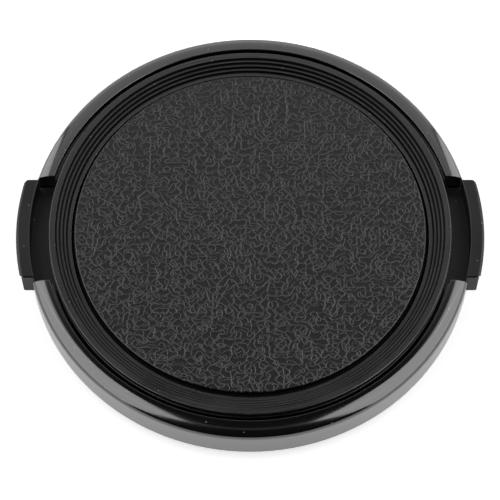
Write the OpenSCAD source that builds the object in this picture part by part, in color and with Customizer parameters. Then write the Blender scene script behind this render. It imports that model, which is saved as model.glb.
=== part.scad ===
// Push-on lens cap for a filter thread, let go by squeezing the two latches at its sides.
// It lies on its back. The origin is the centre of the collar's back edge, +Z comes out of
// the front, and the latches slide along X, the right one towards -X when it is pressed.

/* [Filter thread] */
// Diameter of the filter thread that the cap fits
filter_d = 58; // [55:0.5:62]
// Pitch of that thread
thread_pitch = 0.75; // [0.65:0.05:0.8]
// How far the free latch teeth stand out past the thread's own radius
tooth_reach = 0.15; // [0:0.05:0.2]

/* [Rim] */
// How far the rim stands out past the filter thread
rim_margin = 1.2; // [1:0.1:1.5]
// Length of the collar that goes inside the filter thread
collar_h = 2.6; // [2.6:0.1:3.6]
// Thickness of the floor that carries the springs
floor_t = 1.4; // [1.4:0.1:2]
// Height of the rim's inner top edge above the seat on the lens
rim_h = 5.7; // [5.6:0.1:6.4]
// Thickness of the rim's wall at its top
rim_wall = 2.3; // [2.2:0.1:2.5]
// Radius of the crowned band round the top of the rim
crown_r = 3.55; // [3.2:0.05:4]
// Radius of the edge between that band and the rim's side
edge_r = 0.95; // [0.6:0.05:1]

/* [Face plate] */
// Gap between the face plate and the rim
face_gap = 0.7; // [0.5:0.1:0.8]
// How far the face plate stands above the rim
face_proud = 0.35; // [0.2:0.05:0.6]
// Width of the flat band round the top
face_band = 0.82; // [0.6:0.02:1]
// Number of steps that lead down to the inlay
step_count = 4; // [2:1:4]
// Width of one step, with its drafted riser
step_tread = 0.47; // [0.4:0.01:0.5]
// Height of the drop from the band to the lowest step
step_drop = 1.45; // [1:0.05:1.5]

/* [Inlay] */
// Gap between the inlay and the edge of its recess
inlay_gap = 0.37; // [0.2:0.01:0.6]
// Thickness of the inlay
inlay_t = 1.15; // [0.8:0.05:1.4]

/* [Latches] */
// Width of a latch's finger pad
pad_w = 14.8; // [13:0.2:15]
// Thickness of the pad, front to back of the finger
pad_t = 1.85; // [1.7:0.05:2]
// How far the pad stands out past the rim
pad_reach = 1.5; // [1.3:0.1:1.9]
// How far a latch slides in when it is pressed
travel = 2.2; // [1.8:0.1:2.2]

/* [Springs] */
// Outer diameter of a coil spring
spring_d = 2.6; // [2.2:0.1:2.6]
// Diameter of its wire
wire_d = 0.35; // [0.25:0.05:0.4]
// Number of turns, the two closed end turns among them
turns = 9; // [7:1:10]

/* [Hidden] */
$fn = 96;
far = 100;
plastic = [0.09, 0.09, 0.1];
face_black = [0.07, 0.07, 0.08];
inlay_black = [0.13, 0.13, 0.14];
steel = [0.72, 0.72, 0.7];

// Heights, from the collar's back edge up
seat_z = collar_h;
floor_z = seat_z + floor_t;
rim_top = seat_z + rim_h;
land_z = rim_top - 0.04;
ledge_z = floor_z + 2.9;
face_top = rim_top + face_proud;
flange_z = face_top - 1.05;
slide_gap = 0.1;
slide_z = floor_z + slide_gap;
slide_t = 1;
slide_top = slide_z + slide_t;
foot_z = slide_z - 0.5;
skirt_z = slide_top + 0.2;
web_z = floor_z + 2.15;
recess_z = web_z + 0.6;
inlay_top = recess_z + inlay_t;
spring_z = floor_z + 0.6;
pad_top = rim_top - 0.1;

// Radii, from the filter thread in and out
thread_r = filter_d / 2;
rim_r = thread_r + rim_margin;
rim_in_r = rim_r - rim_wall;
wall_in_r = rim_in_r - 0.3;
land_r = rim_in_r + 0.67;
collar_r = thread_r - 0.7;
collar_in_r = collar_r - 1.7;
face_r = rim_in_r - face_gap;
skirt_in_r = face_r - 1.4;
band_in_r = face_r - face_band;
flange_r = face_r + 0.1;
recess_r = face_r - 3;
inlay_r = recess_r - inlay_gap;
pad_out_r = rim_r + pad_reach;
pad_in_r = pad_out_r - pad_t;

// The crown's arc starts at the land and runs into the edge's arc where both lean by crown_turn
crown_turn = 30;
turn_x = rim_r - edge_r + edge_r * sin(crown_turn);
crown_x = turn_x - crown_r * sin(crown_turn);
crown_z = land_z - sqrt(crown_r ^ 2 - (land_r - crown_x) ^ 2);
side_z = crown_z + (crown_r - edge_r) * cos(crown_turn);

// The window in the rim lets the latch's neck down to the thread, and is its end stop both ways
stop_gap = 0.1;
window_r = thread_r - 0.5;
window_top = slide_top + 0.2;
latch_r = window_r - stop_gap;
neck_in_r = collar_in_r + 0.2;
tooth_r = thread_r + tooth_reach;
tooth_root_r = tooth_r - 0.5;
tooth_count = 3;
latch_half = pad_w / 2 + 2.2;
window_half = latch_half + 0.35;
pad_half = pad_w / 2;
inset = 0.18;
notch_half = pad_half + 0.45;
tongue_half = notch_half - 0.12;

// The slide's parts behind the face plate
bar_x = thread_r - 6.5;
upright_t = 1.2;
upright_half = 6;
upright_top = web_z - 0.15;
spring_y = 3.8;
seat_x = thread_r - 14.6;
seat_t = 1.2;
seat_half = 5.5;
peg_r = 0.7;
peg_l = 1.2;
arm_in = 6.6;
arm_out = 9;
arm_end_x = seat_x - 2.4;
rail_gap = 0.2;
rail_w = 1;
rail_spare = 1;
rail_end_x = bar_x - travel - 0.5;
rail_top = floor_z + 1.6;

// The stakes that fasten the face plate, and the pins that place the inlay
stake_x = thread_r - 16;
stake_y = 15.5;
stake_r = 1.25;
stake_head_r = 2.1;
stake_head_t = 0.6;
boss_r = 2.6;
pin_y = 15;
pin_r = 0.9;
fit_gap = 0.05;

// A ring of the cap's own axis, from a section drawn as radius and height
module ring() {
    rotate_extrude() children();
}

// What repeats at both sides or at all four corners
module both_sides() {
    for (turn = [0, 180]) rotate([0, 0, turn]) children();
}
module four_corners() {
    both_sides() for (side = [-1, 1]) scale([1, side, 1]) children();
}

module rim_section() {
    floor_edge = 0.15;
    lip_edge = 0.08;
    lead_in = 0.35;
    lead_back = 0.25;
    // Floor and flange
    polygon([
        [0, seat_z], [rim_r - floor_edge, seat_z], [rim_r, seat_z + floor_edge],
        [rim_r, floor_z], [0, floor_z]
    ]);
    // Collar, chamfered so that it finds the thread
    polygon([
        [collar_in_r + lead_back, 0], [collar_r - lead_in, 0], [collar_r, lead_in],
        [collar_r, floor_z], [collar_in_r, floor_z], [collar_in_r, lead_back]
    ]);
    // Wall, with the ledge round the face plate
    translate([wall_in_r, floor_z]) square([rim_in_r - wall_in_r, ledge_z - floor_z]);
    polygon([
        [rim_in_r, floor_z], [land_r, floor_z], [land_r, land_z],
        [rim_in_r + lip_edge, rim_top], [rim_in_r, rim_top - lip_edge]
    ]);
    // The crowned band, and below where it ends the edge that turns down into the side
    intersection() {
        translate([crown_x, crown_z]) circle(crown_r);
        translate([land_r, floor_z]) square([turn_x - land_r, far]);
    }
    intersection() {
        translate([rim_r - edge_r, side_z]) circle(edge_r);
        translate([turn_x, side_z]) square(edge_r);
    }
    translate([turn_x, floor_z]) square([rim_r - turn_x, side_z - floor_z]);
}

// The hole under each latch: the neck's own outline, swept over the travel
module window_cut() {
    difference() {
        intersection() {
            translate([0, 0, -1]) cylinder(r = window_r, h = window_top + 1);
            translate([bar_x - travel, -window_half, -1]) cube([far, 2 * window_half, window_top + 1]);
        }
        translate([-travel - stop_gap, 0, -2]) cylinder(r = neck_in_r, h = far);
    }
}

// The gap in the wall that the finger pad slides into, over a shelf a little below the floor
module notch_cut() {
    wall_depth = 5;
    shelf_depth = 3.6;
    translate([rim_r - wall_depth, -notch_half, floor_z]) cube([far, 2 * notch_half, far]);
    translate([rim_r - shelf_depth, -notch_half, foot_z - slide_gap]) cube([far, 2 * notch_half, far]);
}

// A trough for one spring, with a slot through the floor that the mould leaves under it
module spring_trough() {
    trough_gap = 0.15;
    trough_r = spring_d / 2 + trough_gap;
    trough_l = bar_x + upright_t + 0.2 - seat_x;
    slot_w = 1.4;
    slot_l = 6;
    slot_inset = 1;
    translate([seat_x, spring_y, spring_z]) rotate([0, 90, 0]) cylinder(r = trough_r, h = trough_l);
    translate([seat_x + slot_inset, spring_y - slot_w / 2, seat_z - 1]) cube([slot_l, slot_w, floor_t + 2]);
}

module rim_body() {
    color(plastic) {
        difference() {
            ring() rim_section();
            both_sides() window_cut();
            both_sides() notch_cut();
            four_corners() spring_trough();
            // Holes for the stakes, wider at the back for their heads
            four_corners() translate([stake_x, stake_y, seat_z - 1]) {
                cylinder(r = stake_r + fit_gap, h = far);
                cylinder(r = stake_head_r + 0.1, h = 1 + stake_head_t + 0.1);
            }
        }
        // Bosses that the face plate rests on
        four_corners() translate([stake_x, stake_y, 0]) difference() {
            translate([0, 0, floor_z]) cylinder(r = boss_r, h = web_z - floor_z);
            cylinder(r = stake_r + fit_gap, h = far);
        }
        // Walls that the springs push against, each with two pegs
        both_sides() translate([seat_x - seat_t, -seat_half, floor_z]) {
            cube([seat_t, 2 * seat_half, upright_top - floor_z]);
        }
        four_corners() translate([seat_x, spring_y, spring_z]) rotate([0, 90, 0]) {
            cylinder(r = peg_r, h = peg_l);
        }
        // Rails that the latch arms slide between, with some length to spare at the arms' ends
        four_corners() translate([arm_end_x - rail_spare, arm_out + rail_gap, floor_z]) {
            cube([rail_end_x - arm_end_x + rail_spare, rail_w, rail_top - floor_z]);
        }
    }
}

// What a rounded edge takes off a square corner that lies at the origin and fills +X and +Y
module round_off(r) {
    difference() {
        translate([-r, -r]) square(2 * r);
        translate([r, r]) circle(r);
        translate([r, -r]) square(2 * r);
        translate([-r, r]) square(2 * r);
    }
}

module face_section() {
    step_rise = step_drop / step_count;
    draft = 0.1;
    edge = 0.12;
    flange_edge = 0.05;
    low_z = face_top - step_drop;
    steps = [
        for (i = [0:step_count - 1], lower = [0, 1])
            [band_in_r - i * step_tread - lower * draft, face_top - (i + lower) * step_rise]
    ];
    difference() {
        polygon(concat(
            [[0, web_z], [skirt_in_r, web_z], [skirt_in_r, skirt_z], [flange_r, skirt_z]],
            [[flange_r, flange_z - flange_edge], [flange_r - flange_edge, flange_z]],
            [[face_r, flange_z], [face_r, face_top]],
            steps,
            [[recess_r, low_z], [recess_r, recess_z], [0, recess_z]]
        ));
        translate([face_r, face_top]) rotate(180) round_off(edge);
        translate([recess_r, low_z]) rotate(-90) round_off(edge);
    }
}

module face_plate() {
    rib_w = 1.2;
    rib_gap = 0.15;
    rib_z = slide_top + rib_gap;
    rib_inset = 0.5;
    sunk = 0.1;
    color(face_black) {
        difference() {
            ring() face_section();
            for (side = [-1, 1]) translate([0, side * pin_y, 0]) cylinder(r = pin_r + fit_gap, h = far);
        }
        // Stakes, with their ends melted into heads at the back
        four_corners() translate([stake_x, stake_y, seat_z + 0.05]) {
            cylinder(r1 = stake_head_r - 0.4, r2 = stake_head_r, h = stake_head_t / 2);
            translate([0, 0, stake_head_t / 2]) cylinder(r = stake_head_r, h = stake_head_t / 2);
            cylinder(r = stake_r, h = web_z - seat_z);
        }
        // Ribs that keep the latch arms down in their rails
        four_corners() translate([arm_end_x + rib_inset, (arm_in + arm_out - rib_w) / 2, rib_z]) {
            cube([rail_end_x - arm_end_x - 2 * rib_inset, rib_w, web_z - rib_z + sunk]);
        }
    }
}

module front_inlay() {
    edge = 0.2;
    color(inlay_black) {
        ring() {
            translate([0, recess_z]) square([inlay_r, inlay_top - edge - recess_z]);
            translate([0, inlay_top - 2 * edge]) square([inlay_r - edge, 2 * edge]);
            translate([inlay_r - edge, inlay_top - edge]) circle(edge);
        }
        for (side = [-1, 1]) translate([0, side * pin_y, web_z + 0.1]) {
            cylinder(r = pin_r, h = recess_z - web_z);
        }
    }
}

// The right latch's pad: a lip along the top, over a block set back to grip by
module latch_pad() {
    lip_t = 0.55;
    outer_edge = 0.4;
    inner_edge = 0.12;
    foot_edge = 0.3;
    end_edge = 0.2;
    corner = 0.45;
    lip_z = pad_top - lip_t;
    end_x = sqrt(pad_out_r ^ 2 - pad_half ^ 2);
    groove_r = 0.2;
    groove_pitch = 1;
    groove_turn = groove_pitch / pad_out_r * 180 / PI;
    intersection() {
        ring() difference() {
            translate([pad_in_r, lip_z]) square([pad_t, lip_t]);
            translate([pad_out_r, pad_top]) rotate(180) round_off(outer_edge);
            translate([pad_in_r, pad_top]) rotate(45) square(inner_edge * sqrt(2), center = true);
        }
        difference() {
            translate([0, -pad_half, 0]) cube([far, pad_w, far]);
            for (side = [-1, 1]) {
                translate([end_x, side * pad_half, 0]) rotate([0, 0, 45]) {
                    cube([corner * sqrt(2), corner * sqrt(2), far], center = true);
                }
                translate([end_x, side * pad_half, pad_top]) rotate([45, 0, 0]) {
                    cube([far, end_edge * sqrt(2), end_edge * sqrt(2)], center = true);
                }
            }
        }
    }
    difference() {
        intersection() {
            ring() difference() {
                translate([pad_in_r, foot_z]) square([pad_t - inset, lip_z - foot_z]);
                translate([pad_out_r - inset, foot_z]) rotate(90) round_off(foot_edge);
            }
            translate([0, inset - pad_half, 0]) cube([far, pad_w - 2 * inset, far]);
        }
        for (i = [-6:6]) rotate([0, 0, i * groove_turn]) translate([pad_out_r - inset, 0, 0]) {
            cylinder(r = groove_r, h = lip_z - 0.3, $fn = 24);
        }
    }
}

// The right latch's neck: it hangs through the window and holds the filter thread by its ridges
module latch_neck() {
    tip_z = 0.15;
    ridge_top = seat_z - 0.2;
    ridges = [
        for (i = [0:tooth_count - 1], corner = [0:3])
            let (z = ridge_top - 0.3 - i * thread_pitch)
                [corner == 0 || corner == 3 ? tooth_root_r : tooth_r, z + [0.3, 0.06, -0.06, -0.3][corner]]
    ];
    intersection() {
        ring() polygon(concat(
            [[neck_in_r, slide_top], [latch_r, slide_top]],
            [[latch_r, ridge_top + 0.05], [tooth_root_r, ridge_top]],
            ridges,
            [[tooth_root_r - 0.3, tip_z], [neck_in_r + 0.2, tip_z], [neck_in_r, tip_z + 0.2]]
        ));
        translate([0, -latch_half, 0]) cube([far, 2 * latch_half, far]);
    }
}

module latch() {
    gusset_l = 1.8;
    gusset_t = 0.8;
    sunk = 0.2;
    color(plastic) {
        latch_pad();
        latch_neck();
        // Slide: a bar across the window, and a tongue out through the notch to the pad
        translate([0, 0, slide_z]) linear_extrude(slide_t) {
            intersection() {
                circle(latch_r);
                translate([bar_x, -latch_half]) square([far, 2 * latch_half]);
            }
            intersection() {
                circle(pad_in_r + 0.2);
                translate([latch_r - 2, -tongue_half]) square([far, 2 * tongue_half]);
            }
        }
        // Arms that keep the slide square in its rails
        for (side = [-1, 1]) scale([1, side, 1]) translate([0, 0, slide_z]) {
            linear_extrude(slide_t) polygon([
                [bar_x + 0.5, arm_in], [arm_end_x + 0.3, arm_in], [arm_end_x, arm_in + 0.3],
                [arm_end_x, arm_out - 0.3], [arm_end_x + 0.3, arm_out], [bar_x + 0.5, arm_out]
            ]);
        }
        // Upright that the springs push on, with its pegs and the gussets behind it
        translate([bar_x, -upright_half, slide_z]) cube([upright_t, 2 * upright_half, upright_top - slide_z]);
        for (side = [-1, 1]) translate([bar_x, side * spring_y, spring_z]) rotate([0, -90, 0]) {
            cylinder(r = peg_r, h = peg_l);
        }
        for (y = [-spring_y, 0, spring_y]) translate([bar_x + upright_t, y + gusset_t / 2, slide_top]) {
            rotate([90, 0, 0]) linear_extrude(gusset_t) polygon([
                [-sunk, -sunk], [gusset_l, -sunk], [gusset_l, 0], [-sunk, upright_top - slide_top]
            ]);
        }
    }
}

module latch_right() {
    latch();
}

module latch_left() {
    rotate([0, 0, 180]) latch();
}

// Where the wire's centre lies along the spring after t turns, with closed end turns
function wire_x(t) =
    let (
        first = seat_x + 0.02 + wire_d / 2,
        last = bar_x - 0.02 - wire_d / 2,
        closed = 1.03 * wire_d,
        open = (last - first - 2 * closed) / (turns - 2)
    )
    t < 1 ? first + t * closed :
    t > turns - 1 ? last - (turns - t) * closed :
    first + closed + (t - 1) * open;

// A coil spring along X: the wire's round section, carried along its helix
module spring() {
    around = 6;
    per_turn = 12;
    coil_r = (spring_d - wire_d) / 2;
    last = turns * per_turn;
    points = [
        for (i = [0:last], j = [0:around - 1])
            let (
                turn = 360 * i / per_turn,
                lean = 360 * j / around,
                r = coil_r + wire_d / 2 * cos(lean)
            )
            [wire_x(i / per_turn) + wire_d / 2 * sin(lean), r * cos(turn), r * sin(turn)]
    ];
    sides = [
        for (i = [0:last - 1], j = [0:around - 1])
            let (a = i * around, b = a + around, k = (j + 1) % around)
            [a + j, a + k, b + k, b + j]
    ];
    ends = [[for (j = [0:around - 1]) around - 1 - j], [for (j = [0:around - 1]) last * around + j]];
    color(steel) translate([0, 0, spring_z]) polyhedron(points, concat(sides, ends));
}

module spring_right_front() {
    translate([0, -spring_y, 0]) spring();
}

module spring_right_rear() {
    translate([0, spring_y, 0]) spring();
}

module spring_left_front() {
    rotate([0, 0, 180]) spring_right_rear();
}

module spring_left_rear() {
    rotate([0, 0, 180]) spring_right_front();
}

rim_body();
face_plate();
front_inlay();
latch_left();
latch_right();
spring_left_front();
spring_left_rear();
spring_right_front();
spring_right_rear();
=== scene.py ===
import math

import bmesh
import bpy
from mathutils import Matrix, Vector


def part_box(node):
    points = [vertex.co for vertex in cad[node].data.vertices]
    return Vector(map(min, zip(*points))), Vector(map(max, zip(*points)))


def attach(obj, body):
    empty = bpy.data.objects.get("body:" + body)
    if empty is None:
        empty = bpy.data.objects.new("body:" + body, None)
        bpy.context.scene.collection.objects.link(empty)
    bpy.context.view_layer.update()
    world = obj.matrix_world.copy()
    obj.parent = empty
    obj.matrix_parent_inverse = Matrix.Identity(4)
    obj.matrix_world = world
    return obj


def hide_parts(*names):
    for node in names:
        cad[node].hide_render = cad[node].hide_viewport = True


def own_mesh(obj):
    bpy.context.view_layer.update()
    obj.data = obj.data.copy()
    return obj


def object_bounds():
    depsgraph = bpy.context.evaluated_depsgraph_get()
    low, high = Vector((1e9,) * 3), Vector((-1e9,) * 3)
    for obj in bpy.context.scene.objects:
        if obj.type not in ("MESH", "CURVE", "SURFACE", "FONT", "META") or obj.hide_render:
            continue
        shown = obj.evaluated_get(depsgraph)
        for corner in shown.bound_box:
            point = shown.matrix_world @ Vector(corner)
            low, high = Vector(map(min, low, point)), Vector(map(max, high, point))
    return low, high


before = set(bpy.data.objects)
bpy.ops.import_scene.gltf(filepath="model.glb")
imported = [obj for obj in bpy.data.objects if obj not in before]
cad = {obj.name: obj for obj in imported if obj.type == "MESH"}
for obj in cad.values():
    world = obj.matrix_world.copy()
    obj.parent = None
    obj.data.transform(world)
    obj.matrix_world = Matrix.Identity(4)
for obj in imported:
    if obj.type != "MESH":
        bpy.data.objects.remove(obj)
cad_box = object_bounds()
mm = 0.001


# Rim body: the black ring that the fingers hold, moulded in one with the floor behind the face and the
# collar that goes inside the filter thread. Glossy black plastic with a fine grain and a few specks of
# dust. Its outer edge is turned: a crowned band runs into a smaller round, and that into the side.
def add(tree, kind, inputs=None, **settings):
    """A node of that kind, with its settings, and its inputs set to a value or linked to a socket."""
    node = tree.nodes.new(kind)
    for name, value in settings.items():
        setattr(node, name, value)
    for name, value in (inputs or {}).items():
        socket = node.inputs[name]
        if isinstance(value, bpy.types.NodeSocket):
            tree.links.new(value, socket)
        else:
            socket.default_value = value
    return node


def calc(tree, operation, a, b=0.0, c=0.0):
    """The result of one operation on numbers."""
    return add(tree, "ShaderNodeMath", {0: a, 1: b, 2: c}, operation=operation).outputs[0]


def vector(tree, operation, a, b=None, scale=None):
    """The result of one operation on vectors, a number where it makes one."""
    given = {0: a, 1: b, "Scale": scale}
    node = add(
        tree, "ShaderNodeVectorMath", {name: value for name, value in given.items() if value is not None},
        operation=operation)
    return node.outputs["Value" if operation in ("LENGTH", "DOT_PRODUCT") else "Vector"]


def ramp(tree, value, low, high, to_low=0.0, to_high=1.0, **settings):
    """A number carried from one range to another, and held at its ends."""
    return add(tree, "ShaderNodeMapRange", {
        "Value": value, "From Min": low, "From Max": high, "To Min": to_low, "To Max": to_high},
        **settings).outputs[0]


def noise(tree, place, size, detail):
    """Soft noise with lumps of that size."""
    return add(tree, "ShaderNodeTexNoise", {"Vector": place, "Scale": 1 / size, "Detail": detail})


def between(tree, factor, a, b, kind="RGBA"):
    """A colour or a vector between two others."""
    return add(tree, "ShaderNodeMix", {"Factor": factor, "A": a, "B": b}, data_type=kind).outputs["Result"]


def bumped(tree, height, depth, normal=None):
    """The normal of a surface with that relief on it."""
    inputs = {"Height": height, "Strength": 1, "Distance": depth}
    if normal:
        inputs["Normal"] = normal
    return add(tree, "ShaderNodeBump", inputs).outputs["Normal"]


def object_place(tree):
    """Where a point is on its object."""
    return add(tree, "ShaderNodeTexCoord").outputs["Object"]


def from_axis(tree, place):
    """The part of a place that lies across the cap's axis, and its distance from the axis."""
    flat = vector(tree, "MULTIPLY", place, (1, 1, 0))
    return flat, vector(tree, "LENGTH", flat)


def new_finish(name):
    """A new material, with its tree and its shader."""
    material = bpy.data.materials.new(name)
    material.use_nodes = True
    tree = material.node_tree
    return material, tree, tree.nodes["Principled BSDF"]


def moulded_plastic(name, colour, roughness, grain, grain_depth, gloss, coat, corner=0.1 * mm):
    """Black moulded plastic: grain is the size of the mould's etching, corner its edges' radius."""
    material, tree, shader = new_finish(name)
    place = object_place(tree)
    # The gloss changes a little over the piece, in clouds
    cloud = noise(tree, place, size=6 * mm, detail=4).outputs["Fac"]
    uneven = ramp(tree, cloud, 0.3, 0.7, roughness * 0.85, roughness * 1.15)
    rounded = add(tree, "ShaderNodeBevel", {"Radius": corner}, samples=8).outputs["Normal"]
    etched = noise(tree, place, grain, detail=3).outputs["Fac"]
    # Dust: a speck in the middle of a fifth of the cells of a coarse net
    cell_size = 0.7 * mm
    clean_share = 0.8
    speck_core = 0.08
    speck_edge = 0.16
    dust_grey = (0.16, 0.16, 0.155, 1)
    cells = add(tree, "ShaderNodeTexVoronoi", {"Vector": place, "Scale": 1 / cell_size}).outputs
    dusty = calc(tree, "GREATER_THAN", cells["Color"], clean_share)
    speck = ramp(tree, cells["Distance"], speck_core, speck_edge, 1, 0)
    shade = between(tree, calc(tree, "MULTIPLY", speck, dusty), (*colour, 1), dust_grey)
    tree.links.new(shade, shader.inputs["Base Color"])
    tree.links.new(uneven, shader.inputs["Roughness"])
    tree.links.new(bumped(tree, etched, grain_depth, rounded), shader.inputs["Normal"])
    shader.inputs["Specular IOR Level"].default_value = gloss
    shader.inputs["Coat Weight"].default_value = coat
    shader.inputs["Coat Roughness"].default_value = 0.08
    tree.links.new(rounded, shader.inputs["Coat Normal"])
    return material


def exact_arcs(material, arcs):
    """Shades a turned edge by its exact arcs: each has its first and last radius, and its centre.

    The mesh's facets would show in the gloss. Its own shading stays where it turns off the arcs, at
    the notches for the latches, by the two limits on how alike the two directions are.
    """
    unlike = 0.93
    alike = 0.98
    tree = material.node_tree
    rounded = tree.nodes["Bevel"].outputs["Normal"]
    users = [link.to_socket for link in rounded.links]
    place = object_place(tree)
    height = add(tree, "ShaderNodeSeparateXYZ", {0: place}).outputs["Z"]
    flat, radius = from_axis(tree, place)
    out = vector(tree, "NORMALIZE", flat)
    shading = rounded
    for first_r, last_r, centre_r, centre_z in arcs:
        away = calc(tree, "SUBTRACT", radius, centre_r)
        up = calc(tree, "SUBTRACT", height, centre_z)
        rise = add(tree, "ShaderNodeCombineXYZ", {"Z": up}).outputs[0]
        exact = vector(tree, "NORMALIZE", vector(tree, "ADD", vector(tree, "SCALE", out, scale=away), rise))
        # Only between the arc's ends and above its centre
        here = ramp(tree, vector(tree, "DOT_PRODUCT", exact, rounded), unlike, alike)
        here = calc(tree, "MULTIPLY", here, calc(tree, "GREATER_THAN", radius, first_r))
        here = calc(tree, "MULTIPLY", here, calc(tree, "LESS_THAN", radius, last_r))
        here = calc(tree, "MULTIPLY", here, calc(tree, "GREATER_THAN", up, 0))
        shading = between(tree, here, shading, exact, kind="VECTOR")
    for socket in users:
        tree.links.new(shading, socket)


def dress(piece, material):
    """Gives every face of a piece the one material."""
    piece.data.materials.clear()
    piece.data.materials.append(material)


rim_plastic = moulded_plastic(
    "satin black rim", colour=(0.002, 0.002, 0.0021), roughness=0.14, grain=0.09 * mm,
    grain_depth=0.001 * mm, gloss=1, coat=1)
# The crown's arc starts at the land and runs into the edge's arc where both lean by crown_turn
rim_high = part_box("rim_body")[1]
rim_r = rim_high.y
edge_r = 0.95 * mm
land_r = rim_r - 1.63 * mm
land_z = rim_high.z - 0.04 * mm
crown_r = 3.55 * mm
crown_turn = math.radians(30)
turn_x = rim_r - edge_r + edge_r * math.sin(crown_turn)
crown_x = turn_x - crown_r * math.sin(crown_turn)
crown_z = land_z - math.sqrt(crown_r ** 2 - (land_r - crown_x) ** 2)
side_z = crown_z + (crown_r - edge_r) * math.cos(crown_turn)
exact_arcs(rim_plastic, (
    (land_r, turn_x, crown_x, crown_z),
    (turn_x, rim_r + edge_r, rim_r - edge_r, side_z)))
dress(cad["rim_body"], rim_plastic)


# Latches: one moulding each, with the finger pad, the slide behind the face and the neck with the thread
# ridges. The same black plastic, a little duller, for grip.
latch_plastic = moulded_plastic(
    "dull black latch", colour=(0.002, 0.002, 0.0021), roughness=0.4, grain=0.11 * mm,
    grain_depth=0.003 * mm, gloss=0.5, coat=0, corner=0.06 * mm)
for side in ("left", "right"):
    dress(cad["latch_" + side], latch_plastic)


# Springs: four coils of bright drawn steel wire, closed at both ends, in troughs in the rim body's
# floor. They push the latches out.
spring_turns = 9
steps_in_turn = 36
wire = 0.35 * mm
wire_sides = 12
closed_pitch = 1.03


def steel_wire():
    """Bright steel, streaked a little by the drawing die."""
    material, tree, shader = new_finish("drawn spring wire")
    drawn = noise(tree, object_place(tree), size=0.15 * mm, detail=2).outputs["Fac"]
    tint = between(tree, drawn, (0.5, 0.5, 0.5, 1), (0.68, 0.67, 0.65, 1))
    tree.links.new(tint, shader.inputs["Base Color"])
    tree.links.new(ramp(tree, drawn, 0, 1, 0.18, 0.36), shader.inputs["Roughness"])
    shader.inputs["Metallic"].default_value = 1
    return material


def spring_tree(material):
    """A coil along X from a straight line: length, coil diameter, wire and turns are the inputs."""
    tree = bpy.data.node_groups.new("coil_spring", "GeometryNodeTree")
    face = tree.interface
    face.new_socket("Geometry", in_out="OUTPUT", socket_type="NodeSocketGeometry")
    face.new_socket("Geometry", in_out="INPUT", socket_type="NodeSocketGeometry")
    for name in ("Start", "Length", "Coil", "Wire", "Turns", "Y", "Z"):
        face.new_socket(name, in_out="INPUT", socket_type="NodeSocketFloat")
    given = add(tree, "NodeGroupInput").outputs
    line = add(tree, "GeometryNodeCurvePrimitiveLine").outputs["Curve"]
    fine = add(tree, "GeometryNodeResampleCurve", {
        "Curve": line, "Count": spring_turns * steps_in_turn + 1})
    along = add(tree, "GeometryNodeSplineParameter").outputs["Factor"]
    turn = calc(tree, "MULTIPLY", along, given["Turns"])
    # The first and last turn are closed, a wire apart. The open turns share what length is left.
    closed = calc(tree, "MULTIPLY", given["Wire"], closed_pitch)
    run = calc(tree, "SUBTRACT", given["Length"], given["Wire"])
    open_run = calc(tree, "SUBTRACT", run, calc(tree, "MULTIPLY", closed, 2))
    open_pitch = calc(tree, "DIVIDE", open_run, calc(tree, "SUBTRACT", given["Turns"], 2))
    first = calc(tree, "MINIMUM", turn, 1)
    last = calc(tree, "MAXIMUM", calc(tree, "SUBTRACT", turn, calc(tree, "SUBTRACT", given["Turns"], 1)), 0)
    ends = calc(tree, "ADD", first, last)
    middle = calc(tree, "SUBTRACT", turn, ends)
    x = calc(tree, "MULTIPLY_ADD", ends, closed, calc(tree, "MULTIPLY", middle, open_pitch))
    x = calc(tree, "MULTIPLY_ADD", given["Wire"], 0.5, calc(tree, "ADD", x, given["Start"]))
    radius = calc(tree, "MULTIPLY", calc(tree, "SUBTRACT", given["Coil"], given["Wire"]), 0.5)
    angle = calc(tree, "MULTIPLY", turn, 2 * math.pi)
    y = calc(tree, "MULTIPLY_ADD", calc(tree, "COSINE", angle), radius, given["Y"])
    z = calc(tree, "MULTIPLY_ADD", calc(tree, "SINE", angle), radius, given["Z"])
    helix = add(tree, "GeometryNodeSetPosition", {
        "Geometry": fine.outputs["Curve"],
        "Position": add(tree, "ShaderNodeCombineXYZ", {"X": x, "Y": y, "Z": z}).outputs[0]})
    section = add(tree, "GeometryNodeCurvePrimitiveCircle", {
        "Resolution": wire_sides, "Radius": calc(tree, "MULTIPLY", given["Wire"], 0.5)})
    coil = add(tree, "GeometryNodeCurveToMesh", {
        "Curve": helix.outputs["Geometry"], "Profile Curve": section.outputs["Curve"],
        "Fill Caps": True})
    smooth = add(tree, "GeometryNodeSetShadeSmooth", {"Geometry": coil.outputs["Mesh"]})
    real = add(tree, "GeometryNodeRealizeInstances", {"Geometry": smooth.outputs[0]})
    steel = add(tree, "GeometryNodeSetMaterial", {"Geometry": real.outputs[0], "Material": material})
    add(tree, "NodeGroupOutput", {"Geometry": steel.outputs[0]})
    return tree


def grown(name, tree, sizes, start=None):
    """The plain mesh that a Geometry Nodes tree makes with these sizes, from a start mesh or none."""
    piece = bpy.data.objects.new(name, start or bpy.data.meshes.new(name))
    bpy.context.scene.collection.objects.link(piece)
    grower = piece.modifiers.new("grow", "NODES")
    grower.node_group = tree
    for item in tree.interface.items_tree:
        if item.item_type == "SOCKET" and item.in_out == "INPUT" and item.name in sizes:
            grower[item.identifier] = sizes[item.name]
    bpy.context.view_layer.update()
    seen = piece.evaluated_get(bpy.context.evaluated_depsgraph_get())
    mesh = bpy.data.meshes.new_from_object(seen)
    piece.modifiers.remove(grower)
    piece.data = mesh
    return piece


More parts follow.
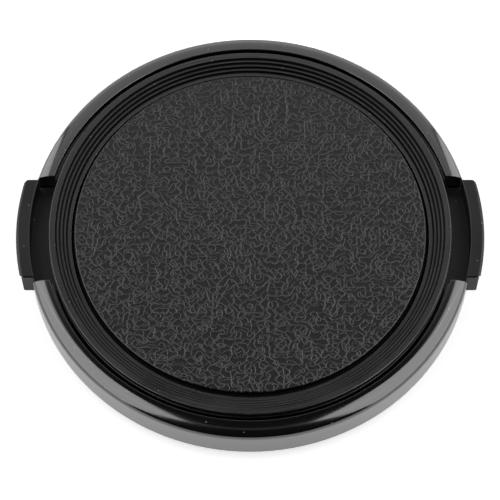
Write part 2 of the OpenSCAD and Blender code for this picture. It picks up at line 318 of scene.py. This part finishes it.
coil_tree = spring_tree(steel_wire())
for side in ("left", "right"):
    for end in ("front", "rear"):
        node = f"spring_{side}_{end}"
        low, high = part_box(node)
        coil = grown(f"coil_{side}_{end}", coil_tree, {
            "Start": low.x, "Length": high.x - low.x, "Coil": high.z - low.z, "Wire": wire,
            "Turns": spring_turns, "Y": (low.y + high.y) / 2, "Z": (low.z + high.z) / 2})
        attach(coil, "shell")
        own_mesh(coil)
        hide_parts(node)


# Face plate: the stepped black ring, held by four stakes melted over behind the floor. It shines less
# than the rim. Its treads show the fine turning marks of the mould, and its risers and the corner under
# each carry painted shade.
def turning_marks(material, spacing, depth):
    """Adds fine rings round the cap's axis, which the mould's turned core leaves, to a finish."""
    tree = material.node_tree
    normal = tree.nodes["Principled BSDF"].inputs["Normal"]
    before = normal.links[0].from_socket
    flat, radius = from_axis(tree, object_place(tree))
    # The marks run round, and change a little along their way
    drift = vector(tree, "SCALE", flat, scale=0.02)
    where = vector(tree, "ADD", drift, add(tree, "ShaderNodeCombineXYZ", {"X": radius}).outputs[0])
    marks = noise(tree, where, spacing, detail=3).outputs["Fac"]
    tree.links.new(bumped(tree, marks, depth, before), normal)


def paint_step_shade(material, outer_r, tread, count, shade_share):
    """Paints shade on the risers of the steps and the corner under each, with a rougher and darker shader
    than the treads'.
    """
    tree = material.node_tree
    shader = tree.nodes["Principled BSDF"]
    radius = from_axis(tree, object_place(tree))[1]
    step = ramp(tree, radius, outer_r, outer_r - count * tread, 0, count)
    across_step = calc(tree, "FRACT", step)
    corner = ramp(tree, across_step, shade_share * 0.8, shade_share * 1.2, 1, 0)
    # Off the steps the number of the step is whole, and no shade is painted
    stepped = calc(tree, "GREATER_THAN", across_step, 0.001)
    # Painted shade: a darker, duller shader mixed in where the steps' corners lie in shade
    dull = add(tree, "ShaderNodeBsdfPrincipled", {
        "Base Color": (0.001, 0.001, 0.001, 1), "Roughness": 0.55, "Specular IOR Level": 0.15,
        "Normal": shader.inputs["Normal"].links[0].from_socket})
    both = add(tree, "ShaderNodeMixShader", {
        0: calc(tree, "MULTIPLY", corner, stepped), 1: shader.outputs[0], 2: dull.outputs[0]})
    tree.links.new(both.outputs[0], tree.nodes["Material Output"].inputs["Surface"])


face_plastic = moulded_plastic(
    "satin black face", colour=(0.002, 0.002, 0.0021), roughness=0.28, grain=0.08 * mm,
    grain_depth=0.002 * mm, gloss=1, coat=0, corner=0.035 * mm)
turning_marks(face_plastic, spacing=0.16 * mm, depth=0.03 * mm)
paint_step_shade(face_plastic, outer_r=rim_r - 3.82 * mm, tread=0.47 * mm, count=4, shade_share=0.5)
dress(cad["face_plate"], face_plastic)


# Inlay: the wrinkled disc, glued into the face plate's recess. Black plastic, moulded with a net of fine
# raised wrinkles round flat islands, and with a rounded edge over a matt black side that carries painted
# shade.
inlay_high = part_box("front_inlay")[1]
inlay_r = inlay_high.x
inlay_top = inlay_high.z
inlay_t = 1.15 * mm
recess_z = inlay_top - inlay_t
inlay_edge = 0.2 * mm
cells_across = 288


def disc_blank():
    """A closed disc whose top is an even net of square cells, with a rounded edge."""
    mesh = bpy.data.meshes.new("wrinkled_inlay")
    build = bmesh.new()
    flat_r = inlay_r - inlay_edge
    half = cells_across // 2

    def on_disc(i, j):
        # A square of cells is wrapped onto the disc, so that each cell keeps its area
        a, b = i / half, j / half
        if a == 0 and b == 0:
            return 0, 0
        if abs(a) > abs(b):
            r, turn = a, math.pi / 4 * b / a
        else:
            r, turn = b, math.pi / 2 - math.pi / 4 * a / b
        return flat_r * r * math.cos(turn), flat_r * r * math.sin(turn)

    net = {
        (i, j): build.verts.new((*on_disc(i, j), inlay_top))
        for i in range(-half, half + 1) for j in range(-half, half + 1)}
    for i in range(-half, half):
        for j in range(-half, half):
            build.faces.new((net[i, j], net[i + 1, j], net[i + 1, j + 1], net[i, j + 1]))
    rim = [net[i, -half] for i in range(-half, half)]
    rim += [net[half, j] for j in range(-half, half)]
    rim += [net[i, half] for i in range(half, -half, -1)]
    rim += [net[-half, j] for j in range(half, -half, -1)]
    # Rings of points down the round, and one at the foot of the side
    side_h = inlay_t - inlay_edge
    for lean, drop in ((30, 0), (60, 0), (90, 0), (90, side_h)):
        r = flat_r + inlay_edge * math.sin(math.radians(lean))
        z = inlay_top - inlay_edge * (1 - math.cos(math.radians(lean))) - drop
        ring = []
        for v in rim:
            out = Vector((v.co.x, v.co.y, 0)).normalized()
            ring.append(build.verts.new((out.x * r, out.y * r, z)))
        for k, v in enumerate(rim):
            n = (k + 1) % len(rim)
            build.faces.new((v, ring[k], ring[n], rim[n]))
        rim = ring
    build.faces.new(reversed(rim))
    bmesh.ops.recalc_face_normals(build, faces=build.faces)
    for face in build.faces:
        face.smooth = len(face.verts) == 4
    build.to_mesh(mesh)
    build.free()
    return mesh


def wrinkle_height(tree, place, width):
    """Height from 0 to 1 of the wrinkles at a place, for the relief and for the finer bump."""
    def line_at_middle(value, width):
        off = calc(tree, "ABSOLUTE", calc(tree, "SUBTRACT", value, 0.5))
        return off, ramp(tree, off, 0.0, width, 1.0, 0.0, interpolation_type="SMOOTHSTEP")

    flat = from_axis(tree, place)[0]
    sway = noise(tree, flat, size=0.75 * mm, detail=1.0).outputs["Color"]
    sway = vector(tree, "SCALE", vector(tree, "SUBTRACT", sway, (0.5, 0.5, 0.5)), scale=0.5 * mm)
    bent = vector(tree, "ADD", flat, sway)
    # Long wrinkles wind where a noise is at its middle value, and close into round islands
    hills = noise(tree, bent, size=1.25 * mm, detail=0.0).outputs["Fac"]
    from_long, long_lines = line_at_middle(hills, width)
    # Short ones fill the islands and stay clear of the long ones
    elsewhere = vector(tree, "ADD", bent, (0.05, 0.03, 0))
    folds = noise(tree, elsewhere, size=0.92 * mm, detail=0.0).outputs["Fac"]
    short_lines = line_at_middle(folds, width * 1.2)[1]
    clear = ramp(tree, from_long, width, width * 1.8)
    short_lines = calc(tree, "MULTIPLY", calc(tree, "MULTIPLY", short_lines, clear), 0.85)
    # Both are lower in places
    worn = noise(tree, flat, size=1.2 * mm, detail=1.0).outputs["Fac"]
    lines = calc(tree, "MAXIMUM", long_lines, short_lines)
    return calc(tree, "MULTIPLY", lines, ramp(tree, worn, 0.32, 0.5, 0.5, 1.0))


def wrinkle_tree(front_finish, side_finish):
    """Raises the wrinkles on a blank disc's top, and finishes its top and its side."""
    tree = bpy.data.node_groups.new("wrinkle_relief", "GeometryNodeTree")
    face = tree.interface
    face.new_socket("Geometry", in_out="OUTPUT", socket_type="NodeSocketGeometry")
    face.new_socket("Geometry", in_out="INPUT", socket_type="NodeSocketGeometry")
    for name in ("Relief", "Top", "Side"):
        face.new_socket(name, in_out="INPUT", socket_type="NodeSocketFloat")
    given = add(tree, "NodeGroupInput").outputs
    place = add(tree, "GeometryNodeInputPosition").outputs[0]
    z = add(tree, "ShaderNodeSeparateXYZ", {0: place}).outputs["Z"]
    on_top = add(tree, "FunctionNodeCompare", {0: z, 1: given["Top"]}, operation="GREATER_THAN")
    at_side = add(tree, "FunctionNodeCompare", {0: z, 1: given["Side"]}, operation="LESS_THAN")
    # The wrinkles' tops stay at the disc's own height, and what lies between them is sunk
    sunk = calc(tree, "SUBTRACT", wrinkle_height(tree, place, width=0.09), 1.0)
    lift = calc(tree, "MULTIPLY", sunk, given["Relief"])
    raised = add(tree, "GeometryNodeSetPosition", {
        "Geometry": given["Geometry"], "Selection": on_top.outputs[0],
        "Offset": add(tree, "ShaderNodeCombineXYZ", {"Z": lift}).outputs[0]})
    real = add(tree, "GeometryNodeRealizeInstances", {"Geometry": raised.outputs[0]})
    front = add(tree, "GeometryNodeSetMaterial", {
        "Geometry": real.outputs[0], "Material": front_finish})
    both = add(tree, "GeometryNodeSetMaterial", {
        "Geometry": front.outputs[0], "Selection": at_side.outputs[0], "Material": side_finish})
    add(tree, "NodeGroupOutput", {"Geometry": both.outputs[0]})
    return tree


def wrinkled_plastic():
    """Black plastic with thin wrinkles, whose ridges are coloured a little lighter as a painted highlight.
    """
    material, tree, shader = new_finish("wrinkled black inlay")
    place = object_place(tree)
    height = wrinkle_height(tree, place, width=0.042)
    etched = noise(tree, place, size=0.1 * mm, detail=3.0).outputs["Fac"]
    grain = bumped(tree, etched, 0.004 * mm)
    # Painted highlight: the wrinkles' tops are lighter in colour, where they would catch the light
    ridge_highlight = between(tree, height, (0.002, 0.002, 0.0021, 1), (0.038, 0.038, 0.039, 1))
    tree.links.new(ridge_highlight, shader.inputs["Base Color"])
    tree.links.new(bumped(tree, height, 0.024 * mm, grain), shader.inputs["Normal"])
    shader.inputs["Roughness"].default_value = 0.3
    shader.inputs["Specular IOR Level"].default_value = 0.65
    return material


def gap_shade_black(name):
    """Painted shade: black that hardly shines, for what lies deep in the gap round the inlay, where shade
    falls.
    """
    material, tree, shader = new_finish(name)
    lumps = noise(tree, object_place(tree), size=0.3 * mm, detail=2.0).outputs["Fac"]
    tree.links.new(bumped(tree, lumps, 0.01 * mm), shader.inputs["Normal"])
    shader.inputs["Base Color"].default_value = (0.001, 0.001, 0.001, 1)
    shader.inputs["Roughness"].default_value = 0.7
    shader.inputs["Specular IOR Level"].default_value = 0.1
    return material


# The inlay's side gets a black that hardly shines: painted shade for the deep gap round the inlay
inlay_tree = wrinkle_tree(wrinkled_plastic(), gap_shade_black("shaded inlay side"))
inlay = grown("wrinkled_inlay", inlay_tree, {
    "Relief": 0.012 * mm, "Top": inlay_top - 0.001 * mm, "Side": inlay_top - inlay_edge}, disc_blank())
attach(inlay, "shell")
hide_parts("front_inlay")


# Painted shade in the gap round the inlay: a black bead on the floor of the gap, which hardly shines,
# put there for the shade deep in the gap. It creeps up both walls a little.
def gap_shade_bead():
    """A ring under the inlay's edge and out to the recess's wall."""
    gap = 0.37 * mm
    recess_r = inlay_r + gap
    bed_in_r = inlay_r - 1.5 * mm
    bed_t = 0.15 * mm
    section = [
        (bed_in_r, 0), (recess_r, 0), (recess_r, 0.16 * mm),
        (recess_r - 0.12 * mm, 0.11 * mm), (inlay_r + 0.1 * mm, 0.1 * mm),
        (inlay_r, bed_t), (bed_in_r, bed_t)]
    around = 180
    build = bmesh.new()
    rings = []
    for k in range(around):
        turn = 2 * math.pi * k / around
        x, y = math.cos(turn), math.sin(turn)
        rings.append([build.verts.new((r * x, r * y, recess_z + z)) for r, z in section])
    for k, ring in enumerate(rings):
        after = rings[(k + 1) % around]
        for i in range(len(section)):
            j = (i + 1) % len(section)
            build.faces.new((ring[i], after[i], after[j], ring[j]))
    bmesh.ops.recalc_face_normals(build, faces=build.faces)
    mesh = bpy.data.meshes.new("inlay_gap_shade")
    build.to_mesh(mesh)
    build.free()
    bead = bpy.data.objects.new("inlay_gap_shade", mesh)
    bpy.context.scene.collection.objects.link(bead)
    return bead


# Painted shade: a black, matt bead where the gap round the inlay lies in shade
gap_shade = gap_shade_bead()
dress(gap_shade, gap_shade_black("black gap shade"))
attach(gap_shade, "shell")


# Table: a white sheet that the cap lies on. The camera sees it as white paper in full light, the
# cap's gloss sees it dimmer, and it keeps the cap's soft shadow.
def white_sheet(seen_glow, mirrored_glow):
    """Paper that also glows, by one strength to the camera and by another to the cap's gloss."""
    material = bpy.data.materials.new("white sheet")
    material.use_nodes = True
    tree = material.node_tree
    tree.nodes.clear()
    path = add(tree, "ShaderNodeLightPath").outputs
    paper = add(tree, "ShaderNodeBsdfDiffuse", {"Color": (0.8, 0.8, 0.8, 1)})
    to_eye = calc(tree, "MULTIPLY", path["Is Camera Ray"], seen_glow)
    strength = calc(tree, "MULTIPLY_ADD", path["Is Glossy Ray"], mirrored_glow, to_eye)
    glow = add(tree, "ShaderNodeEmission", {"Color": (1, 1, 1, 1), "Strength": strength})
    lit = add(tree, "ShaderNodeAddShader", {0: paper.outputs[0], 1: glow.outputs[0]})
    add(tree, "ShaderNodeOutputMaterial", {"Surface": lit.outputs[0]})
    return material


table_w = 4
bpy.ops.mesh.primitive_plane_add(size=table_w, location=(0, 0, cad_box[0].z))
table = bpy.context.object
table.name = "table"
dress(table, white_sheet(seen_glow=0.55, mirrored_glow=0.12))


# Light: a white tent that is open towards the camera. Its left and right walls are the bright ones, its
# back wall is dimmer and fades upwards, and little comes from overhead.
def soft_wall(name, centre, facing, width, height, radiance):
    """A flat lamp of even brightness, whatever its size."""
    lamp = bpy.data.lights.new(name, "AREA")
    lamp.shape = "RECTANGLE"
    lamp.size, lamp.size_y = width, height
    lamp.energy = radiance * math.pi * width * height
    wall = bpy.data.objects.new(name, lamp)
    wall.location = centre
    wall.rotation_euler = Vector(facing).to_track_quat("-Z", "Y").to_euler()
    bpy.context.scene.collection.objects.link(wall)


def hung_wall(name, centre, facing, width, bands):
    """An upright wall that fades towards its top: each band has its low z, high z and radiance."""
    for i, (low, high, radiance) in enumerate(bands):
        soft_wall(f"{name}_{i}", (*centre, (low + high) / 2), facing, width, high - low, radiance)


for name, side in (("left", -1), ("right", 1)):
    soft_wall(
        name + "_wall_front", centre=(side * 0.385, -0.17, 0.655), facing=(-side, 0, -0.126),
        width=0.54, height=1.2, radiance=2.0)
    hung_wall(
        name + "_wall_rear", centre=(side * 0.44, 0.32), facing=(-side, 0, 0), width=0.44,
        bands=((0.04, 0.74, 2.0), (0.74, 0.95, 1.2), (0.95, 1.15, 0.6)))
hung_wall(
    "back_wall", centre=(0, 0.6), facing=(0, -1, 0), width=0.9,
    bands=(
        (0.02, 0.2, 0.95), (0.2, 0.9, 0.68), (0.9, 1.1, 0.6),
        (1.1, 1.25, 0.48), (1.25, 1.45, 0.28), (1.45, 1.8, 0.08)))
soft_wall(
    "top_strip", centre=(0, -0.22, 0.68), facing=(0, 0.3, -1), width=1.0, height=0.1, radiance=0.12)

# The room is dark to the cap, and white to the camera
world = bpy.data.worlds.new("studio")
bpy.context.scene.world = world
world.use_nodes = True
sky = world.node_tree
sky.nodes.clear()
room_glow = 0.012
dim = add(sky, "ShaderNodeBackground", {"Color": (1, 1, 1, 1), "Strength": room_glow})
white = add(sky, "ShaderNodeBackground", {"Color": (1, 1, 1, 1), "Strength": 1.0})
eye = add(sky, "ShaderNodeLightPath").outputs["Is Camera Ray"]
both = add(sky, "ShaderNodeMixShader", {0: eye, 1: dim.outputs[0], 2: white.outputs[0]})
add(sky, "ShaderNodeOutputWorld", {"Surface": both.outputs[0]})


# Camera: a long lens that looks down on the front, found from the ellipses of the rim. The point it
# aims at lies at view_x, view_y in the photo.
photo_width = 500
focal_px = 2150
scale_px = 7.265
tilt = math.radians(64.3)
view_x, view_y = 250.15, 245.6
centre_px = 250
aim = Vector((0, 0, 2.6 * mm))
forward = Vector((0, math.cos(tilt), -math.sin(tilt)))
upward = Vector((0, math.sin(tilt), math.cos(tilt)))
distance = focal_px / scale_px * mm
px = mm / scale_px
lens = bpy.data.cameras.new("camera")
lens.sensor_width = 36
lens.lens = focal_px / photo_width * lens.sensor_width
lens.clip_start = 0.01
lens.clip_end = 10
camera = bpy.data.objects.new("camera", lens)
shift_up = upward * (centre_px - view_y) * px
shift_right = Vector((view_x - centre_px, 0, 0)) * px
camera.location = aim - forward * distance - shift_up - shift_right
camera.rotation_euler = forward.to_track_quat("-Z", "Y").to_euler()
bpy.context.scene.collection.objects.link(camera)
bpy.context.scene.camera = camera
bpy.context.scene.view_settings.view_transform = "Standard"
